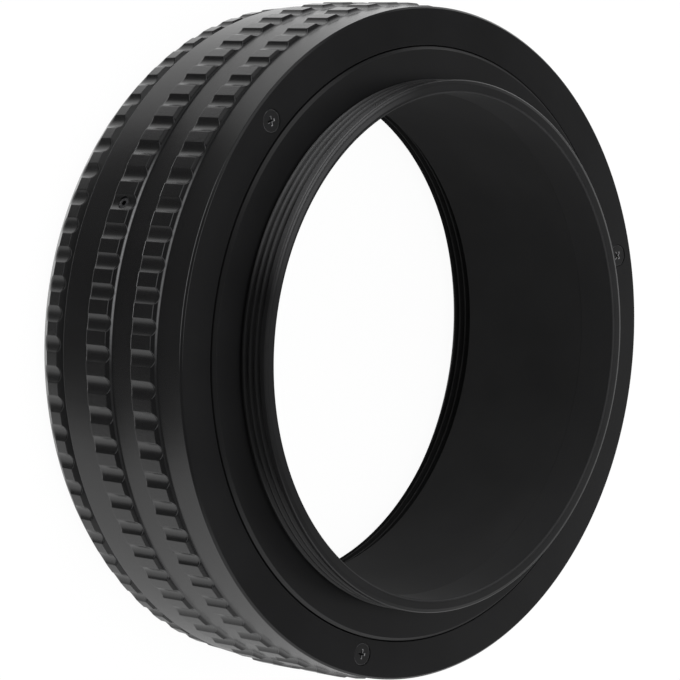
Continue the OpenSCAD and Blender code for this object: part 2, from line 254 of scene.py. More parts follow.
# %% [markdown]
# ## Turned rings
# Nearly every piece is turned on a lathe: an outline in the plane of radius and height, carried
# once around the axis. The corners of the outline are rounded by a few hundredths of a
# millimetre, because a real edge always catches a thin line of light. A spare row of points on
# each side of a rounded corner keeps the faces beside it truly flat when they are shaded. The
# rounded points carry an attribute called edge, which the finish reads to mix in a light grey:
# partly wear that leaves the black thinner, partly a painted highlight along the edge. A point of
# an outline is its radius, its height and its rounding. A fourth number sets that grey share,
# which otherwise is full on outer corners and none on inner ones. A fifth marks a sloping side.

# %% Outlines
HAIR, KEEN, CRISP, BLUNT, FINE = 0.03, 0.04, 0.05, 0.08, 0.12
UNWORN, SLOPING = 0.0, 1.0
SPARE, SPARE_SHARE, CUT_SHARE, ROUND_STEPS = 0.03, 0.05, 0.4, 2


def rounded(outline):
    points = []
    for i, (r, z, radius, *marks) in enumerate(outline):
        here = np.array((r, z), float)
        side = marks[1] if len(marks) > 1 else 0.0
        if radius <= 0:
            points.append((r, z, marks[0] if marks else UNWORN, side))
            continue
        before = np.array(outline[i - 1][:2], float) - here
        after = np.array(outline[(i + 1) % len(outline)][:2], float) - here
        long_b, long_a = np.linalg.norm(before), np.linalg.norm(after)
        before, after = before / long_b, after / long_a
        half = math.acos(max(-1, min(1, float(before @ after)))) / 2
        cut = min(radius / math.tan(half), CUT_SHARE * long_b, CUT_SHARE * long_a)
        convex = 1.0 if before[0] * after[1] - before[1] * after[0] < 0 else 0.0
        worn = marks[0] if marks else convex
        points.append((*(here + before * (cut + min(SPARE, SPARE_SHARE * long_b))), UNWORN, side))
        for s in range(ROUND_STEPS + 1):
            t = s / ROUND_STEPS
            points.append((*(here + before * cut * (1 - t) ** 2 + after * cut * t ** 2), worn, side))
        points.append((*(here + after * (cut + min(SPARE, SPARE_SHARE * long_a))), UNWORN, side))
    return points


def steps_between(start, end, count, side=0.0, wear=UNWORN):
    shares = [i / count for i in range(1, count)]
    return [(*(start[k] + (end[k] - start[k]) * s for k in range(2)), 0, wear, side) for s in shares]


# %% Lathe
def even_angles(count):
    return np.arange(count) * 2 * math.pi / count


def lathe(name, outline, angles):
    points = np.array(rounded(outline))
    rows, columns = len(points), len(angles)
    r, z, worn, side = points.T
    verts = np.empty((columns, rows, 3))
    verts[..., 0] = np.cos(angles)[:, None] * r * MM
    verts[..., 1] = np.sin(angles)[:, None] * r * MM
    verts[..., 2] = z * MM
    here = np.arange(columns * rows).reshape(columns, rows)
    there = np.roll(here, -1, 0)
    quads = np.stack([here, there, np.roll(there, -1, 1), np.roll(here, -1, 1)], -1).reshape(-1, 4)
    mesh = bpy.data.meshes.new(name)
    mesh.from_pydata(verts.reshape(-1, 3), [], quads.tolist())
    for title, values in (("edge", worn), ("side", side)):
        mesh.attributes.new(title, "FLOAT", "POINT").data.foreach_set("value", np.tile(values, columns))
    return placed(name, mesh)


# %% [markdown]
# ## Finishing a piece
# A mesh whose faces point inwards has a negative volume, so the volume tells when to turn them
# round. Modifiers are settled into a plain mesh before the piece is given to its body.

# %% Settle and finish a piece
SHARP = math.radians(42)


def outward(piece):
    mesh = piece.data
    mesh.calc_loop_triangles()
    spots = np.empty(len(mesh.vertices) * 3)
    mesh.vertices.foreach_get("co", spots)
    corners = np.empty(len(mesh.loop_triangles) * 3, int)
    mesh.loop_triangles.foreach_get("vertices", corners)
    a, b, c = np.moveaxis(spots.reshape(-1, 3)[corners.reshape(-1, 3)], 1, 0)
    volume = np.einsum("ij,ij->i", a, np.cross(b, c)).sum() / 6
    if volume < 0:
        mesh.flip_normals()
    return abs(volume) / MM ** 3


def settled(piece):
    evaluated = piece.evaluated_get(bpy.context.evaluated_depsgraph_get())
    mesh = bpy.data.meshes.new_from_object(evaluated)
    piece.modifiers.clear()
    old, piece.data = piece.data, mesh
    mesh.name = old.name
    bpy.data.meshes.remove(old)
    return piece


def finished(piece, finish, body, slot, *nodes):
    volume = outward(piece)
    piece.data.shade_smooth()
    piece.data.set_sharp_from_angle(angle=SHARP)
    piece.data.materials.clear()
    piece.data.materials.append(finish)
    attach(piece, body)
    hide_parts(*nodes)
    triangles = sum(len(p.vertices) - 2 for p in piece.data.polygons)
    print(piece.name, triangles, "triangles,", round(volume, 1), "cubic mm")


# %% [markdown]
# ## Black anodised finish
# Anodised aluminium is a thin, clear, glassy skin dyed black, over turned metal. A dark base
# under a plain dielectric gloss gives the right rise in brightness towards grazing angles. The
# texture has three scales: the lathe's circumferential lines, the fine etched grain, and a slow
# change in gloss from handling. All read Object coordinates turned into radius, height and
# angle, so the lines follow the turning. The tops of the grip blocks are drawn along the axis
# by the knurling tool, so there the lines run that way. Where a scoop runs out through a band's
# sloping side, its sharp rim is worn like an edge: the attributes rim and side tell where.

# %% Textures of the finish
LINE_SCALE, LINE_SPREAD = 14.0, 0.35
DRAWN_SCALE, DRAWN_STRETCH = 5.0, 0.25
RIM_LINE, RIM_WEAR = (0.02, 0.05), 0.18
WEAR_CHANGE, WEAR_LEAST = 0.7, 0.35


def combined(tree, *values):
    made = add(tree, "ShaderNodeCombineXYZ")
    for value, socket in zip(values, made.inputs):
        feed(tree, value, socket)
    return made.outputs[0]


def parted(tree, spot):
    made = add(tree, "ShaderNodeSeparateXYZ")
    feed(tree, spot, made.inputs[0])
    x, y, z = made.outputs
    return x, y, z, result(tree, "SQRT", result(tree, "ADD", times(tree, x, x), times(tree, y, y)))


def noise(tree, spot, scale, detail=2.0, **settings):
    made = add(tree, "ShaderNodeTexNoise", **settings)
    made.inputs["Scale"].default_value = scale
    made.inputs["Detail"].default_value = detail
    feed(tree, spot, made.inputs["Vector"])
    return made


def lathe_lines(tree, east, north, radius, z):
    spot = combined(tree, times(tree, radius, 1 / MM), times(tree, z, 1 / MM), times(tree, east, LINE_SPREAD))
    lines = noise(tree, spot, LINE_SCALE, noise_dimensions="4D")
    feed(tree, times(tree, north, LINE_SPREAD * LINE_SCALE), lines.inputs["W"])
    return lines.outputs["Fac"]


def drawn_lines(tree, east, north, top_r, z):
    spot = combined(
        tree, times(tree, east, top_r), times(tree, north, top_r), times(tree, z, DRAWN_STRETCH / MM)
    )
    return noise(tree, spot, DRAWN_SCALE).outputs["Fac"]


# The share of light grey on an edge: partly edge wear, partly a painted highlight.
def wear_and_highlight_share(tree, grain):
    worn, side, rim = (
        add(tree, "ShaderNodeAttribute", attribute_name=title).outputs["Fac"]
        for title in ("edge", "side", "rim")
    )
    off_rim = result(tree, "ABSOLUTE", result(tree, "SUBTRACT", rim, 1.0))
    rim_line = times(tree, ramp(tree, off_rim, *RIM_LINE, RIM_WEAR, 0.0), side)
    worn = result(tree, "MAXIMUM", worn, rim_line)
    return times(tree, worn, result(tree, "MULTIPLY_ADD", grain, WEAR_CHANGE, WEAR_LEAST))


# %% [markdown]
# ## Finish maker
# One function mixes every finish of this object from those textures. A finish may have a matte
# inside, as the bore has against stray light, tops that are drawn along the axis, or a painted
# glint: a band of light grey between four heights that stands for the highlights in a screw's
# recess.

# %% Finish maker
SKIN_IOR, WEAR_AND_HIGHLIGHT_BLUE = 1.55, 1.02
GRAIN_SCALE, SLOW_SCALE, SLOW_DETAIL = 6500.0, 95.0, 3.0
TONE_CHANGE, TONE_LEAST = 0.5, 0.75
SLOW_GLOSS, SLOW_MIDDLE, GRAIN_GLOSS, WORN_GLOSS = 0.08, 0.06, 0.05, -0.08
MATTE, MATTE_FADE = 0.95, 0.1
DRAWN_GAIN, DRAWN_FADE = 4, (0.06, 0.02)


def anodised(name, colour, roughness, line_bump, grain_bump, wear_and_highlight_grey=0.04, specular=0.5, metallic=0.0,
             drawn_from=None, matte_inside=None, painted_glint=None):
    made = bpy.data.materials.new(name)
    made.use_nodes = True
    tree = made.node_tree
    shader = tree.nodes["Principled BSDF"]
    for title, number in (("IOR", SKIN_IOR), ("Metallic", metallic), ("Specular IOR Level", specular)):
        shader.inputs[title].default_value = number
    spot = add(tree, "ShaderNodeTexCoord").outputs["Object"]
    x, y, z, radius = parted(tree, spot)
    east, north = (result(tree, "DIVIDE", part, radius) for part in (x, y))
    grain = noise(tree, spot, GRAIN_SCALE).outputs["Fac"]
    slow = noise(tree, spot, SLOW_SCALE, SLOW_DETAIL).outputs["Fac"]
    wear = wear_and_highlight_share(tree, grain)
    # Painted highlight: light grey between the four heights stands for the glints in a recess.
    if painted_glint:
        start, full, still, end = (height * MM for height in painted_glint)
        recess_highlight_band = times(tree, ramp(tree, z, start, full), ramp(tree, z, still, end, 1.0, 0.0))
        wear = result(tree, "MAXIMUM", wear, recess_highlight_band)

    # The light grey mixed in by that share is partly wear and partly a painted highlight.
    tone = add(tree, "ShaderNodeMix", data_type="RGBA")
    tone.inputs["A"].default_value = (*colour, 1)
    tone.inputs["B"].default_value = (wear_and_highlight_grey, wear_and_highlight_grey, wear_and_highlight_grey * WEAR_AND_HIGHLIGHT_BLUE, 1)
    feed(tree, wear, tone.inputs["Factor"])
    shade = add(tree, "ShaderNodeMix", data_type="RGBA", blend_type="MULTIPLY")
    shade.inputs["Factor"].default_value = 1.0
    feed(tree, tone.outputs["Result"], shade.inputs["A"])
    feed(tree, result(tree, "MULTIPLY_ADD", slow, TONE_CHANGE, TONE_LEAST), shade.inputs["B"])
    feed(tree, shade.outputs["Result"], shader.inputs["Base Color"])

    gloss = result(tree, "MULTIPLY_ADD", slow, SLOW_GLOSS, roughness - SLOW_MIDDLE)
    gloss = result(tree, "MULTIPLY_ADD", grain, GRAIN_GLOSS, gloss)
    gloss = result(tree, "MULTIPLY_ADD", wear, WORN_GLOSS, gloss)
    if matte_inside:
        matte = ramp(tree, radius, matte_inside * MM, (matte_inside + MATTE_FADE) * MM, MATTE, 0.0)
        gloss = result(tree, "MAXIMUM", gloss, matte)
    feed(tree, gloss, shader.inputs["Roughness"])

    height = times(tree, lathe_lines(tree, east, north, radius, z), line_bump)
    if drawn_from:
        top = ramp(tree, radius, *((drawn_from - below) * MM for below in DRAWN_FADE))
        height = times(tree, height, result(tree, "SUBTRACT", 1.0, top))
        drawn = times(tree, drawn_lines(tree, east, north, drawn_from, z), top)
        height = result(tree, "MULTIPLY_ADD", drawn, DRAWN_GAIN * line_bump, height)
    height = result(tree, "MULTIPLY_ADD", grain, grain_bump, height)
    bump = add(tree, "ShaderNodeBump")
    bump.inputs["Strength"].default_value = 1.0
    bump.inputs["Distance"].default_value = MM
    feed(tree, height, bump.inputs["Height"])
    feed(tree, bump.outputs[0], shader.inputs["Normal"])
    return made


# %% Black finishes
BAND_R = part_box("grip_sleeve")[1][0] / MM
FINE_LINES, DEEP_LINES, ETCHED = 0.0025, 0.0030, 0.0035
grip_black = anodised(
    "grip_black", (0.0115, 0.0115, 0.012), 0.22, DEEP_LINES, ETCHED, wear_and_highlight_grey=0.6, drawn_from=BAND_R
)
front_black = anodised(
    "front_black", (0.0125, 0.0125, 0.013), 0.30, FINE_LINES, ETCHED, wear_and_highlight_grey=0.3, matte_inside=31.48
)
bore_black = anodised("bore_black", (0.036, 0.036, 0.0365), 0.85, FINE_LINES, ETCHED, specular=0.06)
rear_black = anodised("rear_black", (0.016, 0.016, 0.0165), 0.30, FINE_LINES, ETCHED, matte_inside=33.6)
print("finishes:", [m.name for m in bpy.data.materials])


# %% [markdown]
# ## Geometry Nodes
# What repeats or follows a rule is cut by a tree of Geometry Nodes. These helpers open a tree
# with named inputs, close it with Realize Instances and Set Material, and run it on a piece.
# Inside a tree, a point is known by its radius, angle and height, and named attributes on it can
# be read and stored.

# %% Helpers for Geometry Nodes
FLOAT, INT, STUFF = "NodeSocketFloat", "NodeSocketInt", "NodeSocketMaterial"


def new_tree(name, **inputs):
    tree = bpy.data.node_groups.new(name, "GeometryNodeTree")
    tree.interface.new_socket("Geometry", in_out="INPUT", socket_type="NodeSocketGeometry")
    for title, kind in inputs.items():
        tree.interface.new_socket(title, in_out="INPUT", socket_type=kind)
    tree.interface.new_socket("Geometry", in_out="OUTPUT", socket_type="NodeSocketGeometry")
    return tree, add(tree, "NodeGroupInput").outputs, add(tree, "NodeGroupOutput").inputs


def end_tree(tree, geometry, material, out):
    real = add(tree, "GeometryNodeRealizeInstances")
    coat = add(tree, "GeometryNodeSetMaterial")
    feed(tree, geometry, real.inputs[0])
    feed(tree, real.outputs[0], coat.inputs["Geometry"])
    feed(tree, material, coat.inputs["Material"])
    feed(tree, coat.outputs[0], out[0])


def run_tree(piece, tree, **values):
    modifier = piece.modifiers.new(tree.name, "NODES")
    modifier.node_group = tree
    for item in tree.interface.items_tree:
        if item.in_out == "INPUT" and item.name in values:
            modifier[item.identifier] = values[item.name]
    return settled(piece)


def cylinder_parts(tree):
    x, y, z, radius = parted(tree, add(tree, "GeometryNodeInputPosition").outputs[0])
    return x, y, z, radius, result(tree, "ARCTAN2", y, x)


def store(tree, geometry, title, value):
    keep = add(tree, "GeometryNodeStoreNamedAttribute", data_type="FLOAT", domain="POINT")
    feed(tree, geometry, keep.inputs["Geometry"])
    keep.inputs["Name"].default_value = title
    feed(tree, value, next(s for s in keep.inputs if s.name == "Value" and s.enabled))
    return keep.outputs[0]


def stored(tree, title):
    kept = add(tree, "GeometryNodeInputNamedAttribute", data_type="FLOAT")
    kept.inputs["Name"].default_value = title
    return next(s for s in kept.outputs if s.name == "Attribute" and s.enabled)


def set_radius(tree, geometry, x, y, z, radius, wanted):
    ratio = result(tree, "DIVIDE", wanted, radius)
    carve = add(tree, "GeometryNodeSetPosition")
    feed(tree, geometry, carve.inputs["Geometry"])
    feed(tree, combined(tree, times(tree, x, ratio), times(tree, y, ratio), z), carve.inputs["Position"])
    return carve.outputs[0]


def clamped(tree, value):
    return result(tree, "MINIMUM", result(tree, "MAXIMUM", value, 0.0), 1.0)


def near_angle(tree, angle, middle, fade):
    towards = result(tree, "COSINE", result(tree, "SUBTRACT", angle, middle))
    return ramp(tree, towards, *(math.cos(math.radians(a)) for a in fade))


# %% [markdown]
# ## Scoops of the grip bands
# Seventy-two shallow scoops run along the axis through each raised band. On the machine a round
# cutter passes the ring once for each scoop. A Geometry Nodes tree follows the same rule: it
# pulls every point that stands outside the cutter's cylinder down on to it. A smooth minimum
# leaves the cut's rim slightly soft. The columns of the lathe stand closest at that rim. The
# worn edges end where a scoop starts. Their light grey is partly a painted highlight: it is
# strongest near one angle of the ring, and away from that angle it fades to a least share.

# %% Scoop tree
GRIP_HIGHLIGHT_FADE, RIM_CLEAR = (20, 3), 0.03
scoop_tree, given, out = new_tree(
    "scoops", count=INT, first=FLOAT, cutter=FLOAT, axis=FLOAT, lean=FLOAT, height=FLOAT, soft=FLOAT,
    worn=FLOAT, least=FLOAT, finish=STUFF
)
t = scoop_tree
x, y, z, radius, angle = cylinder_parts(t)
half_step = result(t, "DIVIDE", math.pi, given["count"])
offset = result(t, "SUBTRACT", angle, given["first"])
offset = result(t, "WRAP", offset, half_step, times(t, half_step, -1.0))
axis = result(t, "MULTIPLY_ADD", result(t, "SUBTRACT", z, given["height"]), given["lean"], given["axis"])
aside = times(t, result(t, "SINE", offset), axis)
left_over = result(t, "SUBTRACT", times(t, given["cutter"], given["cutter"]), times(t, aside, aside))
reach = result(t, "SQRT", result(t, "MAXIMUM", left_over, 0.0))
cut = result(t, "SUBTRACT", times(t, result(t, "COSINE", offset), axis), reach)
deep = result(t, "DIVIDE", result(t, "SUBTRACT", radius, cut), MM)
uncut = result(t, "SUBTRACT", 1.0, clamped(t, result(t, "DIVIDE", deep, RIM_CLEAR)))
# Painted highlight: the edge grey is kept in full near the given angle only, and at the least share
# elsewhere.
edge_highlight_mask = result(t, "MAXIMUM", near_angle(t, angle, given["worn"], GRIP_HIGHLIGHT_FADE), given["least"])
marked = store(t, given["Geometry"], "rim", result(t, "ADD", deep, 1.0))
marked = store(t, marked, "edge", times(t, stored(t, "edge"), times(t, uncut, edge_highlight_mask)))
carved = set_radius(t, marked, x, y, z, radius, result(t, "SMOOTH_MIN", radius, cut, given["soft"]))
end_tree(t, carved, given["finish"], out)

# %% Scooped rings
SCOOPS, SCOOP_W, SCOOP_DEPTH, SOFT = 72, 2.05, 0.4, 0.04
SCOOP_R = (SCOOP_W ** 2 / 4 + SCOOP_DEPTH ** 2) / (2 * SCOOP_DEPTH)
RIM = math.degrees(SCOOP_W / 2 / BAND_R)
RIM_SHARES = 1.1, 1.01, 0.95, 0.83, 0.63, 0.35
COLUMNS = sorted([side * share * RIM for share in RIM_SHARES for side in (-1, 1)] + [0, 180 / SCOOPS])


def around(count, first=0.0):
    return [first + k * 360 / count for k in range(count)]


# worn is the angle of the painted highlight on the edges, and least the share of edge grey kept away from it.
def scooped(name, outline, ring_r, first, finish, lean=0.0, height=0.0, worn=0.0, least=1.0):
    angles = np.radians([middle + column for middle in around(SCOOPS, first) for column in COLUMNS])
    return run_tree(
        lathe(name, outline, angles), scoop_tree, count=SCOOPS, first=math.radians(first),
        cutter=SCOOP_R * MM, axis=(ring_r - SCOOP_DEPTH + SCOOP_R) * MM, lean=lean, height=height * MM,
        soft=SOFT * MM, worn=math.radians(worn), least=least, finish=finish,
    )


print("scoops:", SCOOPS, "cutter radius", round(SCOOP_R, 3), "mm")

# %% [markdown]
# ## Grip sleeve
# The sleeve is turned with two raised bands whose flanks slope at 45 degrees. A rear flank is a
# little steeper, and a front flank runs out in a small hollow at its foot, where the turning
# tool's round nose has been. That hollow catches a line of light, and a light grey painted on
# its two middle rows strengthens that line as a painted highlight.

# %% Outline of the grip sleeve
GRIP_R, BAND_H, BAND_W, STEEP = 41.76, 0.5, 4.3, 0.08
REAR_BAND_Z, FRONT_BAND_Z, FLANK_STEPS = 8.8, 16.5, 6
HOLLOW, HOLLOW_POINTS = 0.5, 8
SKIRT_IN, SKIRT_LOW, SKIRT_BEVEL, FACE_BEVEL, LIP_R = 39.11, 4.6, 0.15, 0.25, 37.02
CORE_FLANGE_R, CORE_FLANGE_LOW, CORE_FLANGE_TOP = 40.61, 21.4, 23.2
FAINT, CLEAR, FACE_LINE = 0.2, 0.3, 0.12


def hollow(top, foot, wear):
    slope = (np.array(top) - foot) / math.dist(top, foot)
    shares = np.linspace(0, 1, HOLLOW_POINTS)
    spots = [foot + HOLLOW * ((1 - s) ** 2 * slope + s ** 2 * np.array((0, 1))) for s in shares]
    # The two middle rows get the foot's light grey, a painted highlight along the hollow.
    middle = HOLLOW_POINTS // 2
    return [
        (*spot, 0, wear if k in (middle - 1, middle) else UNWORN, SLOPING if k < middle - 1 else 0.0)
        for k, spot in enumerate(spots)
    ]


def band(z, rear_wear, foot_highlight):
    rear_foot, rear_top = (GRIP_R, z + STEEP), (BAND_R, z + BAND_H)
    front_top, front_foot = (BAND_R, z + BAND_W - BAND_H), (GRIP_R, z + BAND_W)
    return (
        [(*rear_foot, CRISP)] + steps_between(rear_foot, rear_top, FLANK_STEPS, SLOPING)
        + [(*rear_top, FINE, rear_wear), (*front_top, FINE, FAINT)]
        + steps_between(front_top, front_foot, FLANK_STEPS, SLOPING)[:1]
        + hollow(front_top, front_foot, foot_highlight)
    )


grip_outline = [
    (SKIRT_IN, SKIRT_LOW, 0), (GRIP_R - SKIRT_BEVEL, SKIRT_LOW, CRISP, FAINT),
    (GRIP_R, SKIRT_LOW + SKIRT_BEVEL, CRISP, FAINT),
    *band(REAR_BAND_Z, rear_wear=0.1, foot_highlight=0.75), *band(FRONT_BAND_Z, rear_wear=1.0, foot_highlight=0.42),
    (GRIP_R, FRONT_FACE - FACE_BEVEL, BLUNT, CLEAR), (GRIP_R - FACE_BEVEL, FRONT_FACE, CRISP, FACE_LINE),
    (LIP_R, FRONT_FACE, KEEN, UNWORN), (LIP_R, CORE_FLANGE_TOP, 0), (CORE_FLANGE_R, CORE_FLANGE_TOP, 0),
    (CORE_FLANGE_R, CORE_FLANGE_LOW, 0), (SKIRT_IN, CORE_FLANGE_LOW, 0),
]
print("grip outline:", len(grip_outline), "points")


# %% [markdown]
# ## Drilled holes
# Three countersunk seats in the front plate and one hole for the brake's set screw are drilled
# after turning, so a Boolean takes them out of the finished ring. The seats are a little wider
# than the screw heads, which leaves the dark ring that shows around each head. The cutters are
# small turned bars and prisms, placed upright or as a spoke.

# %% Drills and cutters
def drill(piece, cutters):
    for cutter in cutters:
        outward(cutter)
        hole = piece.modifiers.new("drill", "BOOLEAN")
        hole.operation = "DIFFERENCE"
        hole.solver = "MANIFOLD"
        hole.object = cutter
    settled(piece)
    for cutter in cutters:
        bpy.data.objects.remove(cutter)
    return piece


def turned_bar(name, outline, place, sides=48):
    points = rounded(outline)
    bar = lathe(name, [(r, z, 0) for r, z, _, _ in points], even_angles(sides))
    mesh = bar.data
    rows = len(points)
    verts = [tuple(v.co) for v in mesh.vertices] + [(0, 0, points[0][1] * MM), (0, 0, points[-1][1] * MM)]
    low, high = len(verts) - 2, len(verts) - 1
    faces = [tuple(p.vertices) for k, p in enumerate(mesh.polygons) if k % rows < rows - 1]
    for k in range(sides):
        here, there = k * rows, (k + 1) % sides * rows
        faces += [(there, here, low), (here + rows - 1, there + rows - 1, high)]
    mesh.clear_geometry()
    mesh.from_pydata(verts, [], faces)
    mesh.transform(place)
    return bar


def upright(angle, radius=0, height=0):
    return Matrix.Rotation(math.radians(angle), 4, "Z") @ Matrix.Translation((radius * MM, 0, height * MM))


def spoke(angle, radius, height):
    return upright(angle, radius, height) @ Matrix.Rotation(math.pi / 2, 4, "Y")


def prism(name, outline, low, high, place, low_scale=1.0, high_scale=1.0):
    ends = (low, low_scale), (high, high_scale)
    verts = [(x * scale * MM, y * scale * MM, z * MM) for z, scale in ends for x, y in outline]
    n = len(outline)
    faces = [tuple(range(n))[::-1], tuple(range(n, 2 * n))]
    faces += [(k, (k + 1) % n, n + (k + 1) % n, n + k) for k in range(n)]
    mesh = bpy.data.meshes.new(name)
    mesh.from_pydata(verts, [], faces)
    mesh.transform(place)
    return placed(name, mesh)


# %% Grip sleeve
# The grip's edge grey is a painted highlight near this angle, with the least share kept elsewhere.
FIRST_SCOOP, GRIP_HIGHLIGHT_ANGLE, UNLIT_EDGE_SHARE = -2.27, -14, 0.05
FRONT_SCREW_CIRCLE, FRONT_SCREWS = 39.01, around(3, 77.5)
HEAD_SINK, PILOT_R, SEAT_R, SEAT_LOW, SEAT_HIGH = 0.1, 0.82, 1.44, -0.7, -0.04
BELOW_PLATE, ABOVE_FACE = -3, 0.5
BRAKE_ANGLE, BRAKE_Z, BRAKE_R = -22.27, 10.95, 0.8
BRAKE_HOLE_IN, BRAKE_HOLE_LONG = 39, 4
seat = [
    (PILOT_R, BELOW_PLATE, 0), (PILOT_R, SEAT_LOW - HEAD_SINK, 0),
    (SEAT_R, SEAT_HIGH - HEAD_SINK, 0), (SEAT_R, ABOVE_FACE, 0)
]
hole = [(BRAKE_R, 0, 0), (BRAKE_R, BRAKE_HOLE_LONG, 0)]
cutters = [turned_bar("seat_cutter", seat, upright(a, FRONT_SCREW_CIRCLE, FRONT_FACE)) for a in FRONT_SCREWS]
cutters.append(turned_bar("brake_cutter", hole, spoke(BRAKE_ANGLE, BRAKE_HOLE_IN, BRAKE_Z)))
grip = scooped(
    "grip_with_bands", grip_outline, BAND_R, FIRST_SCOOP, grip_black, worn=GRIP_HIGHLIGHT_ANGLE, least=UNLIT_EDGE_SHARE
)
finished(drill(grip, cutters), grip_black, "focus_ring", "grip_black", "grip_sleeve")

# %% [markdown]
# ## Rear grip ring
# The narrow ring behind the sleeve belongs to the base and stays still. Its scoops lean with its
# conical rim, and its front slope carries their rims.

# %% Rear grip ring
REAR_R, REAR_LEAN, REAR_EDGE_Z, REAR_FIRST_SCOOP = 41.61, 0.05, 3.3, -3.0
PLATE_R, PLATE_T, SLEEVE_R, REAR_TOP = 40.11, 1.6, 38.71, 4.0
REAR_ROUND, REAR_EDGE_WEAR, REAR_SLOPE_WEAR = 0.2, 0.1, 0.035
heel, swell, rim, toe = (40.56, 0), (41.51, 1.5), (REAR_R, REAR_EDGE_Z), (40.91, REAR_TOP)
rear_outline = [
    (PLATE_R, 0, 0), (*heel, CRISP), *steps_between(heel, swell, 7), (*swell, REAR_ROUND, UNWORN),
    *steps_between(swell, rim, 4), (*rim, FINE, REAR_EDGE_WEAR),
    *steps_between(rim, toe, 7, SLOPING, REAR_SLOPE_WEAR), (*toe, 0, REAR_SLOPE_WEAR),
    (SLEEVE_R, REAR_TOP, 0), (SLEEVE_R, PLATE_T, 0), (PLATE_R, PLATE_T, 0),
]
rear_ring = scooped(
    "rear_ring_with_scoops", rear_outline, REAR_R, REAR_FIRST_SCOOP, grip_black, REAR_LEAN, REAR_EDGE_Z
)
finished(rear_ring, grip_black, "base", "rear_grip_black", "rear_grip_ring")

# %% [markdown]
# ## Screw threads
# A thread is cut by a tool that moves along the axis while the ring turns. The tree does the
# same to a plain wall: each point at the crest radius moves to the depth that the thread has at
# its height and angle. The groove runs out softly at both ends. The same tree cuts the fine
# mount threads and the steep many-start threads of the helicoid. One side of the front thread
# and its tip is painted brighter than the rest: near one angle the light grey of its edges gets
# a gain, a painted highlight.

# %% Thread tree
THREAD_HIGHLIGHT_FADE, THREAD_HIGHLIGHT_DEPTH = (34, 6), 1.2
CREST_SHARE, ROOT_SHARE, ON_CREST = 0.22, 0.78, 1e-6
thread_tree, given, out = new_tree(
    "thread", pitch=FLOAT, lead=FLOAT, shift=FLOAT, crest=FLOAT, root=FLOAT, low=FLOAT, high=FLOAT,
    fade=FLOAT, wear=FLOAT, worn=FLOAT, gain=FLOAT, finish=STUFF
)
t = thread_tree
x, y, z, radius, angle = cylinder_parts(t)
rise = times(t, result(t, "DIVIDE", angle, 2 * math.pi), given["lead"])
height = result(t, "SUBTRACT", result(t, "SUBTRACT", z, rise), given["shift"])
fold = times(t, result(t, "PINGPONG", result(t, "DIVIDE", height, given["pitch"]), 0.5), 2.0)
depth = clamped(t, result(t, "DIVIDE", result(t, "SUBTRACT", fold, CREST_SHARE), ROOT_SHARE - CREST_SHARE))
for end, sign in (("low", 1.0), ("high", -1.0)):
    inside = times(t, result(t, "SUBTRACT", z, given[end]), sign)
    depth = times(t, depth, clamped(t, result(t, "DIVIDE", inside, given["fade"])))
on_crest = result(t, "COMPARE", radius, given["crest"], ON_CREST)
shown = times(t, times(t, result(t, "SUBTRACT", 1.0, depth), on_crest), given["wear"])
# Painted highlight: near the given angle the edge grey of the outer surfaces is multiplied by the gain.
thread_highlight = times(t, near_angle(t, angle, given["worn"], THREAD_HIGHLIGHT_FADE), given["gain"])
outer = result(t, "GREATER_THAN", radius, result(t, "SUBTRACT", given["crest"], THREAD_HIGHLIGHT_DEPTH * MM))
thread_highlight = result(t, "MULTIPLY_ADD", thread_highlight, outer, 1.0)
shown = times(t, result(t, "MAXIMUM", stored(t, "edge"), shown), thread_highlight)
marked = store(t, given["Geometry"], "edge", shown)
depth = times(t, depth, on_crest)
wanted = result(t, "MULTIPLY_ADD", depth, result(t, "SUBTRACT", given["root"], given["crest"]), radius)
end_tree(t, set_radius(t, marked, x, y, z, radius, wanted), given["finish"], out)


# worn and gain give the angle and the strength of the painted highlight on the outer edges.
def threaded(piece, finish, crest, root, low, high, pitch=1.0, starts=1, shift=0.0, fade=0.2, wear=UNWORN,
             worn=0.0, gain=0.0):
    run_tree(
        piece, thread_tree, pitch=pitch * MM, lead=pitch * starts * MM, shift=shift * MM, crest=crest * MM,
        root=root * MM, low=low * MM, high=high * MM, fade=fade * MM, wear=wear, worn=math.radians(worn),
        gain=gain, finish=finish,
    )


# %% [markdown]
# ## Front mount ring
# A flange, which stands a little proud of the grip's face, carries the spigot with the male
# thread. Above the thread lies a plain land. The tip is broken in two small facets, and its
# inner edge by a bevel, so each shows as a line of its own.

# %% Front mount ring
BORE_R, NECK_R, NECK_TOP = 31.2, 32.0, 24.4
FLANGE_R, FLANGE_LOW, FLANGE_Z, FLANGE_BEVEL = 36.85, 23.5, 25.46, 0.36
TIP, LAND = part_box("front_mount_ring")[1][2] / MM, 0.75
FRONT_CREST, FRONT_ROOT, FRONT_LOW, RUN_IN = 32.85, 32.43, 25.6, 0.2
CREST_ROWS, MOUNT_COLUMNS = 66, 720
FACET, FACE_IN, BORE_BEVEL = 0.13, 0.5, 0.25
FACE_WORN_IN, FACE_WORN_OUT, WEAR_STEP = 31.75, 32.2, 0.1
# Near this angle the front ring's edge grey is raised by this gain, a painted highlight.
THREAD_HIGHLIGHT_ANGLE, THREAD_HIGHLIGHT_GAIN = -43, 24
TIP_WEAR, FACE_WEAR, CREST_WEAR, BORE_WEAR, INNER_WEAR = 0.018, 0.009, 0.018, 0.065, 0.14
flange_edge, flange_top = (FLANGE_R, FLANGE_Z - FLANGE_BEVEL), (FLANGE_R - FLANGE_BEVEL, FLANGE_Z)
thread_low, thread_high = (FRONT_CREST, FRONT_LOW), (FRONT_CREST, TIP - LAND)
tip_edge, tip_break = (FRONT_CREST, TIP - 2 * FACET), (FRONT_CREST - FACET, TIP - FACET)
tip_top, tip_in = (FRONT_CREST - FACE_IN, TIP), (BORE_R + BORE_BEVEL, TIP)
bore_edge = (BORE_R, TIP - BORE_BEVEL)
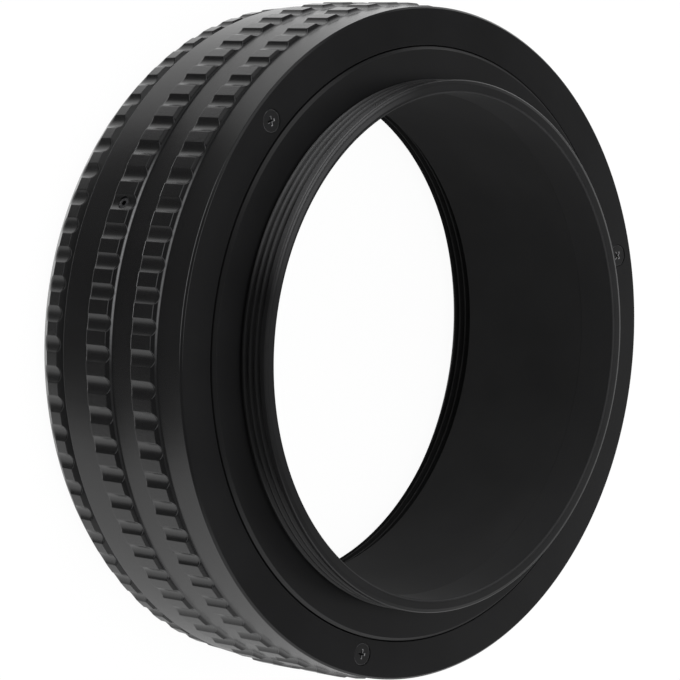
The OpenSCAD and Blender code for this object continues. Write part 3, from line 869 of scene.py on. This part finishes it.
front_outline = [
    (NECK_R, FLANGE_LOW, 0), (FLANGE_R, FLANGE_LOW, 0), (*flange_edge, KEEN, UNWORN),
    *steps_between(flange_edge, flange_top, 4), (*flange_top, CRISP, UNWORN),
    (FRONT_ROOT, FLANGE_Z, 0), (FRONT_ROOT, FRONT_LOW, 0), (*thread_low, 0),
    *steps_between(thread_low, thread_high, CREST_ROWS), (*thread_high, 0, TIP_WEAR),
    *steps_between(thread_high, tip_edge, 6, wear=TIP_WEAR), (*tip_edge, HAIR, TIP_WEAR),
    *steps_between(tip_edge, tip_break, 3, wear=TIP_WEAR), (*tip_break, HAIR, TIP_WEAR),
    *steps_between(tip_break, tip_top, 3, wear=TIP_WEAR), (*tip_top, HAIR, TIP_WEAR),
    (FACE_WORN_OUT, TIP, 0, FACE_WEAR), (FACE_WORN_IN, TIP, 0, FACE_WEAR), (FACE_WORN_IN - WEAR_STEP, TIP, 0),
    (*tip_in, KEEN, INNER_WEAR), *steps_between(tip_in, bore_edge, 3, wear=INNER_WEAR),
    (*bore_edge, KEEN, INNER_WEAR), (BORE_R, TIP - BORE_BEVEL - WEAR_STEP, 0, BORE_WEAR),
    (BORE_R, NECK_TOP + WEAR_STEP, 0, BORE_WEAR), (BORE_R, NECK_TOP, KEEN, UNWORN), (NECK_R, NECK_TOP, 0),
]
front_ring = lathe("front_ring_with_spigot", front_outline, even_angles(MOUNT_COLUMNS))
threaded(
    front_ring, front_black, FRONT_CREST, FRONT_ROOT, FRONT_LOW - RUN_IN, TIP - LAND, shift=TIP - LAND,
    wear=CREST_WEAR, worn=THREAD_HIGHLIGHT_ANGLE, gain=THREAD_HIGHLIGHT_GAIN,
)
finished(front_ring, front_black, "front_barrel", "front_black", "front_mount_ring")

# %% [markdown]
# ## Barrel
# The barrel's long left-hand thread has twelve starts, so that one turn carries it eighteen
# millimetres. Three straight slots for the guide bars are milled through that thread. They come
# into sight when the ring is at full length.

# %% Barrel
LONG_PITCH, LONG_STARTS, LONG_DEPTH, LONG_COLUMNS = 1.5, 12, 0.6, 360
BARREL_R, BARREL_LOW, BARREL_ROWS = 33.85, 5.0, 150
GUIDE_BARS, SLOT_HALF, SLOT_FLOOR, SLOT_OUT, SLOT_TOP = around(3, 30), 2.55, 32.45, 35, 21.8
OVER_END, SHORT_OF_END = 1, 0.1


def slot_shape(inner, outer, half):
    return [(inner, -half), (outer, -half), (outer, half), (inner, half)]


barrel_outline = [
    (BORE_R, BARREL_LOW, CRISP), (BARREL_R, BARREL_LOW, 0),
    *steps_between((BARREL_R, BARREL_LOW), (BARREL_R, FLANGE_LOW), BARREL_ROWS),
    (BARREL_R, FLANGE_LOW, 0), (NECK_R, FLANGE_LOW, 0), (NECK_R, NECK_TOP, 0), (BORE_R, NECK_TOP, KEEN),
]
barrel = lathe("bore_barrel", barrel_outline, even_angles(LONG_COLUMNS))
threaded(
    barrel, bore_black, BARREL_R, BARREL_R - LONG_DEPTH, BARREL_LOW - OVER_END, FLANGE_LOW - SHORT_OF_END,
    LONG_PITCH, -LONG_STARTS,
)
slot = slot_shape(SLOT_FLOOR, SLOT_OUT, SLOT_HALF)
drill(barrel, [prism("slot_cutter", slot, BARREL_LOW - OVER_END, SLOT_TOP, upright(a)) for a in GUIDE_BARS])
finished(barrel, bore_black, "front_barrel", "barrel_black", "inner_barrel")

# %% [markdown]
# ## Core and base sleeve
# Between the barrel and the base sleeve turns the core, threaded on both sides. It moves out on
# the base sleeve's right-hand thread, and the barrel moves out of it on the left-hand one. Both
# come into sight when the ring is drawn out to its full length. The base sleeve has three slots
# for the keys that keep the guide from turning.

# %% Core
CORE_R, CORE_IN, CORE_LOW, CORE_OUT_ROWS, CORE_IN_ROWS = 36.33, 33.93, 3.05, 120, 115
COLLAR_SEAT_R, COLLAR_SEAT_TOP = 35.13, 5.8
GROOVE_R, GROOVE_LOW, GROOVE_TOP = 35.53, 3.7, 4.2
OUT_THREAD_LOW, OUT_THREAD_TOP, IN_THREAD_TOP = 3.0, 21.2, 23.1
PILOT_LOW, PILOT_TOP, CORE_COLUMNS = 21, 23.5, 300
core_outline = [
    (COLLAR_SEAT_R, CORE_LOW, 0), (CORE_R, CORE_LOW, 0),
    *steps_between((CORE_R, CORE_LOW), (CORE_R, CORE_FLANGE_LOW), CORE_OUT_ROWS),
    (CORE_R, CORE_FLANGE_LOW, 0), (CORE_FLANGE_R, CORE_FLANGE_LOW, 0), (CORE_FLANGE_R, CORE_FLANGE_TOP, 0),
    (CORE_IN, CORE_FLANGE_TOP, KEEN),
    *steps_between((CORE_IN, CORE_FLANGE_TOP), (CORE_IN, COLLAR_SEAT_TOP), CORE_IN_ROWS),
    (CORE_IN, COLLAR_SEAT_TOP, 0), (COLLAR_SEAT_R, COLLAR_SEAT_TOP, 0), (COLLAR_SEAT_R, GROOVE_TOP, 0),
    (GROOVE_R, GROOVE_TOP, 0), (GROOVE_R, GROOVE_LOW, 0), (COLLAR_SEAT_R, GROOVE_LOW, 0),
]
core_black = anodised("core_black", (0.016, 0.016, 0.0165), 0.32, DEEP_LINES, ETCHED)
core = lathe("core_with_threads", core_outline, even_angles(CORE_COLUMNS))
threaded(
    core, core_black, CORE_R, CORE_R - LONG_DEPTH, OUT_THREAD_LOW, OUT_THREAD_TOP, LONG_PITCH, LONG_STARTS
)
threaded(
    core, core_black, CORE_IN, CORE_IN + LONG_DEPTH, COLLAR_SEAT_TOP, IN_THREAD_TOP, LONG_PITCH, -LONG_STARTS
)
pilot = [(PILOT_R, PILOT_LOW, 0), (PILOT_R, PILOT_TOP, 0)]
drill(core, [turned_bar("pilot_cutter", pilot, upright(a, FRONT_SCREW_CIRCLE)) for a in FRONT_SCREWS])
finished(core, core_black, "focus_ring", "core_black", "focus_core")

# %% Base sleeve
SLEEVE_IN, SLEEVE_TOP, SLEEVE_ROUND, SLEEVE_ROWS = 36.41, 21.0, 0.06, 130
SLEEVE_THREAD_LOW, UNDER_SLEEVE = 5.0, 1
GUIDE_KEYS, KEY_HALF, KEY_SLOT_IN, KEY_SLOT_FLOOR, KEY_SLOT_TOP = around(3, 90), 3.05, 35.4, 37.5, 18.3
REAR_SCREW_CIRCLE, REAR_SCREWS, REAR_PILOT_R, BOSS_TOP = 37.56, around(6), 0.72, 4.7
sleeve_outline = [
    (SLEEVE_IN, PLATE_T, 0), (SLEEVE_R, PLATE_T, 0), (SLEEVE_R, SLEEVE_TOP, SLEEVE_ROUND),
    (SLEEVE_IN, SLEEVE_TOP, CRISP),
    *steps_between((SLEEVE_IN, SLEEVE_TOP), (SLEEVE_IN, PLATE_T), SLEEVE_ROWS),
]
sleeve_black = anodised("sleeve_black", (0.014, 0.014, 0.0145), 0.26, ETCHED, ETCHED, wear_and_highlight_grey=0.1)
sleeve = lathe("base_sleeve_with_thread", sleeve_outline, even_angles(LONG_COLUMNS))
threaded(
    sleeve, sleeve_black, SLEEVE_IN, SLEEVE_IN + LONG_DEPTH, SLEEVE_THREAD_LOW,
    SLEEVE_TOP - SHORT_OF_END, LONG_PITCH, LONG_STARTS,
)
key_slot = slot_shape(KEY_SLOT_IN, KEY_SLOT_FLOOR, KEY_HALF)
rear_pilot = [(REAR_PILOT_R, UNDER_SLEEVE, 0), (REAR_PILOT_R, BOSS_TOP, 0)]
drill(sleeve, [
    *(prism("key_slot_cutter", key_slot, UNDER_SLEEVE, KEY_SLOT_TOP, upright(a)) for a in GUIDE_KEYS),
    *(turned_bar("rear_pilot_cutter", rear_pilot, upright(a, REAR_SCREW_CIRCLE)) for a in REAR_SCREWS),
])
finished(sleeve, sleeve_black, "base", "sleeve_black", "base_sleeve")

# %% [markdown]
# ## Rear mount ring
# The rear plate closes the base. Its boss has the female mount thread, whose first turns show
# through the bore. Six seats for the screws are drilled from behind.

# %% Rear mount ring
MOUNT_CREST, MOUNT_ROOT, MOUNT_ROWS, MOUNT_TOP = 32.5, 31.9587, 60, 4.65
BOSS_R, MOUTH_R = 33.1587, 33.5587
REAR_SEAT_R, REAR_SEAT_LOW, REAR_SEAT_HIGH, ABOVE_PLATE = 1.26, 0.06, 0.6, 2
rear_mount_outline = [
    (MOUTH_R, 0, CRISP), (PLATE_R, 0, 0), (PLATE_R, PLATE_T, 0), (BOSS_R, PLATE_T, 0),
    (BOSS_R, BOSS_TOP, CRISP), (MOUNT_ROOT, BOSS_TOP, CRISP),
    *steps_between((MOUNT_ROOT, BOSS_TOP), (MOUNT_ROOT, PLATE_T), MOUNT_ROWS), (MOUNT_ROOT, PLATE_T, CRISP),
]
rear_mount = lathe("rear_mount_with_thread", rear_mount_outline, even_angles(MOUNT_COLUMNS))
threaded(rear_mount, rear_black, MOUNT_ROOT, MOUNT_CREST, PLATE_T, MOUNT_TOP)
rear_seat = [
    (REAR_SEAT_R, -ABOVE_FACE, 0), (REAR_SEAT_R, REAR_SEAT_LOW, 0),
    (REAR_PILOT_R, REAR_SEAT_HIGH, 0), (REAR_PILOT_R, ABOVE_PLATE, 0)
]
drill(rear_mount, [
    turned_bar("rear_seat_cutter", rear_seat, upright(a, REAR_SCREW_CIRCLE)) for a in REAR_SCREWS
])
finished(rear_mount, rear_black, "base", "rear_black", "rear_mount_ring")

# %% [markdown]
# ## Screws
# Three countersunk screws with a cross recess hold the front plate on the core, and six more hold
# the rear plate. One screw is turned and its recess is pressed in. A tree then sets its copies
# around a circle, each turned a little further, as screws stand when they are driven home. A band
# of light grey high on the recess walls is a painted highlight that stands for its glints.

# %% Screws around a circle
circle_tree, given, out = new_tree(
    "on_circle", count=INT, first=FLOAT, circle=FLOAT, height=FLOAT, twist=FLOAT, finish=STUFF
)
t = circle_tree
index = add(t, "GeometryNodeInputIndex").outputs[0]
angle = result(t, "MULTIPLY_ADD", index, result(t, "DIVIDE", 2 * math.pi, given["count"]), given["first"])
across, upward = (times(t, result(t, part, angle), given["circle"]) for part in ("COSINE", "SINE"))
points = add(t, "GeometryNodePoints")
feed(t, given["count"], points.inputs["Count"])
feed(t, combined(t, across, upward, given["height"]), points.inputs["Position"])
turned = add(t, "FunctionNodeEulerToRotation")
feed(t, combined(t, 0.0, 0.0, result(t, "MULTIPLY_ADD", index, given["twist"], angle)), turned.inputs[0])
copies = add(t, "GeometryNodeInstanceOnPoints")
feed(t, points.outputs[0], copies.inputs["Points"])
feed(t, given["Geometry"], copies.inputs["Instance"])
feed(t, turned.outputs[0], copies.inputs["Rotation"])
end_tree(t, copies.outputs[0], given["finish"], out)

# %% One countersunk screw
POINT_SHARE, POINT_LONG, HEAD_ROUND, HEAD_FLAT = 0.7, 0.4, 0.06, 0.6
RECESS_FOOT, RECESS_MOUTH, SCREW_SIDES = 0.4, 1.6, 40


def countersunk(name, head, shank, length, reach, arm, depth, turned_over=False):
    outline = [
        (POINT_SHARE * shank, -length, 0), (shank, -length + POINT_LONG * shank, 0), (shank, shank - head, 0),
        (head, 0, HEAD_ROUND), (HEAD_FLAT * head, 0, 0)
    ]
    cross = [
        (x * c - y * s, x * s + y * c) for c, s in ((1, 0), (0, 1), (-1, 0), (0, -1))
        for x, y in ((reach, -arm), (reach, arm), (arm, arm))
    ]
    place = Matrix.Rotation(math.pi if turned_over else 0, 4, "X")
    screw = turned_bar(name, outline, place, SCREW_SIDES)
    return drill(screw, [prism("recess_cutter", cross, -depth, depth, place, RECESS_FOOT, RECESS_MOUTH)])


# %% Front and rear screws
TWIST, SCREW_GRAIN = 0.55, 0.004
front_screw_black = anodised(
    "front_screw_black", (0.016, 0.016, 0.0165), 0.32, 0.0, SCREW_GRAIN, wear_and_highlight_grey=0.5,
    # A band of light grey on the recess walls, a painted highlight.
    painted_glint=(24.72, 24.8, 24.86, 24.89),
)
front_screws = countersunk(
    "front_screws_with_recess", head=1.4, shank=0.8, length=2.84, reach=0.62, arm=0.16, depth=0.7
)
run_tree(
    front_screws, circle_tree, count=len(FRONT_SCREWS), first=math.radians(FRONT_SCREWS[0]),
    circle=FRONT_SCREW_CIRCLE * MM, height=(FRONT_FACE - HEAD_SINK) * MM, twist=TWIST,
    finish=front_screw_black,
)
finished(front_screws, front_screw_black, "focus_ring", "front_screw_black", "front_screws")
rear_screw_steel = anodised(
    "rear_screw_steel", (0.16, 0.16, 0.165), 0.30, 0.0, SCREW_GRAIN, wear_and_highlight_grey=0.5, metallic=1.0,
    # A band of light grey on the recess walls, a painted highlight.
    painted_glint=(0.02, 0.05, 0.12, 0.2),
)
rear_screws = countersunk(
    "rear_screws_with_recess", head=1.2, shank=0.7, length=4.6, reach=0.55, arm=0.14, depth=0.55,
    turned_over=True,
)
run_tree(
    rear_screws, circle_tree, count=len(REAR_SCREWS), first=math.radians(REAR_SCREWS[0]),
    circle=REAR_SCREW_CIRCLE * MM, height=0.0, twist=TWIST, finish=rear_screw_steel,
)
finished(rear_screws, rear_screw_steel, "base", "rear_screw_steel", "rear_mount_screws")

# %% [markdown]
# ## Brake screw
# In one scoop of the rear band sits a small set screw with a hexagon socket. It presses a pad on
# the base sleeve and so sets how stiffly the ring turns.

# %% Brake screw
BRAKE_IN, BRAKE_LONG, BRAKE_PLAY = 39.91, 1.95, 0.02
CUP_R, CUP_LONG, END_R = 0.5, 0.3, 0.6
SOCKET, SOCKET_DEPTH, SOCKET_OVER, SOCKET_TURN = 0.36, 0.8, 0.3, 0.3
brake_steel = anodised("brake_steel", (0.30, 0.30, 0.31), 0.24, 0.0, SCREW_GRAIN, wear_and_highlight_grey=0.6, metallic=1.0)
screw_outline = [
    (CUP_R, 0, 0), (BRAKE_R - BRAKE_PLAY, CUP_LONG, 0), (BRAKE_R - BRAKE_PLAY, BRAKE_LONG, FINE),
    (END_R, BRAKE_LONG, 0)
]
brake_place = spoke(BRAKE_ANGLE, BRAKE_IN, BRAKE_Z)
brake_screw = turned_bar("brake_screw_with_socket", screw_outline, brake_place)
hexagon = [(SOCKET * math.cos(a), SOCKET * math.sin(a)) for a in even_angles(6) + SOCKET_TURN]
socket_low, socket_high = BRAKE_LONG - SOCKET_DEPTH, BRAKE_LONG + SOCKET_OVER
drill(brake_screw, [prism("socket_cutter", hexagon, socket_low, socket_high, brake_place)])
finished(brake_screw, brake_steel, "focus_ring", "brake_steel", "brake_screw")

# %% [markdown]
# ## Guide, keys and pad
# The hidden pieces keep their plain CAD shapes, which are right, and get the look of their own
# metal: turned aluminium, brass keys, ground steel bars, a spring wire and a nylon pad.

# %% Finishes of the hidden pieces
def dress(finish, *nodes):
    for name in nodes:
        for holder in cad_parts[name].material_slots:
            holder.material = finish


TURNED, GROUND, DRAWN = 0.0040, 0.0030, 0.0020
METAL_GRAIN, NYLON_GRAIN = 0.0030, 0.0040
guide_aluminium = anodised("guide_aluminium", (0.56, 0.56, 0.54), 0.34, TURNED, METAL_GRAIN, metallic=1.0)
key_brass = anodised("key_brass", (0.58, 0.41, 0.17), 0.30, GROUND, METAL_GRAIN, metallic=1.0)
bar_steel = anodised("bar_steel", (0.46, 0.46, 0.47), 0.26, GROUND, METAL_GRAIN, metallic=1.0)
guide_screw_steel = anodised("guide_screw_steel", (0.34, 0.34, 0.35), 0.30, DRAWN, METAL_GRAIN, metallic=1.0)
spring_steel = anodised("spring_steel", (0.40, 0.40, 0.42), 0.24, DRAWN, METAL_GRAIN, metallic=1.0)
brake_nylon = anodised("brake_nylon", (0.74, 0.71, 0.62), 0.50, 0.0, NYLON_GRAIN)
dress(guide_aluminium, "guide_ring")
dress(key_brass, "guide_key_1", "guide_key_2", "guide_key_3")
dress(bar_steel, "guide_bar_1", "guide_bar_2", "guide_bar_3")
dress(guide_screw_steel, "guide_bar_screws")
dress(spring_steel, "guide_snap_ring")
dress(brake_nylon, "brake_pad")
print("dressed:", sum(len(o.material_slots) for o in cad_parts.values()), "slots of the CAD nodes")
